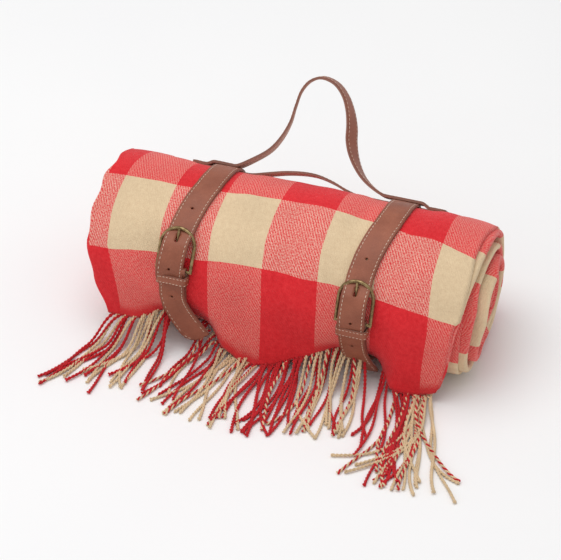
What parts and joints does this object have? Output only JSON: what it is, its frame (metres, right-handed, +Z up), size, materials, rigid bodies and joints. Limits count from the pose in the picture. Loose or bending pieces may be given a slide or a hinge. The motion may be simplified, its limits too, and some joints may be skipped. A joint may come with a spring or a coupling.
{
  "type": "rolled picnic blanket in a leather strap carrier",
  "caption": "Rolled check wool blanket with a fringed edge, held by two buckled leather belts and carried by an arched leather handle strap.",
  "frame": {"origin": "on the floor, in the middle of the object's footprint; the roll's axis runs 36.5 mm behind it", "axes": "+X along the roll to the right seen from the buckles, +Y to the back, +Z up; the buckles face -Y"},
  "size_m": [0.382, 0.3355, 0.1963],
  "materials": {
    "tan_leather": "smooth semi-matt, fine grain",
    "cream_thread": "matt twisted thread",
    "antique_brass": "darkened satin",
    "check_wool": "matt brushed twill, red and cream checks",
    "fringe_wool": "matt twisted yarn"
  },
  "bodies": {
    "carrier": {"base_strap": "tan_leather", "left_handle_end": "tan_leather", "right_handle_end": "tan_leather", "left_belt": "tan_leather", "left_belt_threads": "cream_thread", "left_chape": "tan_leather", "left_tongue": "tan_leather", "left_keeper": "tan_leather", "right_belt": "tan_leather", "right_belt_threads": "cream_thread", "right_chape": "tan_leather", "right_tongue": "tan_leather", "right_keeper": "tan_leather"},
    "handle": {"handle_arch": "tan_leather"},
    "blanket": {"blanket_roll": "check_wool", "blanket_inner_turns": "check_wool", "hem_left": "check_wool", "hem_middle": "check_wool", "hem_right": "check_wool", "fringe_left": "fringe_wool", "fringe_middle": "fringe_wool", "fringe_right": "fringe_wool"},
    "left_buckle": {"left_buckle_frame": "antique_brass"},
    "left_prong_body": {"left_prong": "antique_brass"},
    "left_tail_body": {"left_tail": "tan_leather"},
    "right_buckle": {"right_buckle_frame": "antique_brass"},
    "right_prong_body": {"right_prong": "antique_brass"},
    "right_tail_body": {"right_tail": "tan_leather"}
  },
  "joints": [
    {"name": "handle_tilt", "type": "hinge", "parent": "carrier", "child": "handle", "pos_m": [0, 0.09832, 0.12452], "axis": [1, 0, 0], "range_deg": [-75, 75]},
    {"name": "blanket_shift", "type": "slide", "parent": "carrier", "child": "blanket", "axis": [1, 0, 0], "range_m": [-0.012, 0.012]},
    {"name": "left_buckle_pivot", "type": "hinge", "parent": "carrier", "child": "left_buckle", "pos_m": [-0.1035, -0.0389, 0.08869], "axis": [1, 0, 0], "range_deg": [0, 6]},
    {"name": "left_prong_pivot", "type": "hinge", "parent": "left_buckle", "child": "left_prong_body", "pos_m": [-0.1035, -0.0389, 0.08869], "axis": [1, 0, 0], "range_deg": [0, 5]},
    {"name": "left_tail_lift", "type": "hinge", "parent": "carrier", "child": "left_tail_body", "pos_m": [-0.1035, -0.0438, 0.0607], "axis": [-1, 0, 0], "range_deg": [0, 45], "stiffness_Nm_per_rad": 0.02},
    {"name": "right_buckle_pivot", "type": "hinge", "parent": "carrier", "child": "right_buckle", "pos_m": [0.0705, -0.04265, 0.07517], "axis": [1, 0, 0], "range_deg": [0, 6]},
    {"name": "right_prong_pivot", "type": "hinge", "parent": "right_buckle", "child": "right_prong_body", "pos_m": [0.0705, -0.04265, 0.07517], "axis": [1, 0, 0], "range_deg": [0, 5]},
    {"name": "right_tail_lift", "type": "hinge", "parent": "carrier", "child": "right_tail_body", "pos_m": [0.0705, -0.04288, 0.04984], "axis": [-1, 0, 0], "range_deg": [0, 45], "stiffness_Nm_per_rad": 0.02}
  ]
}
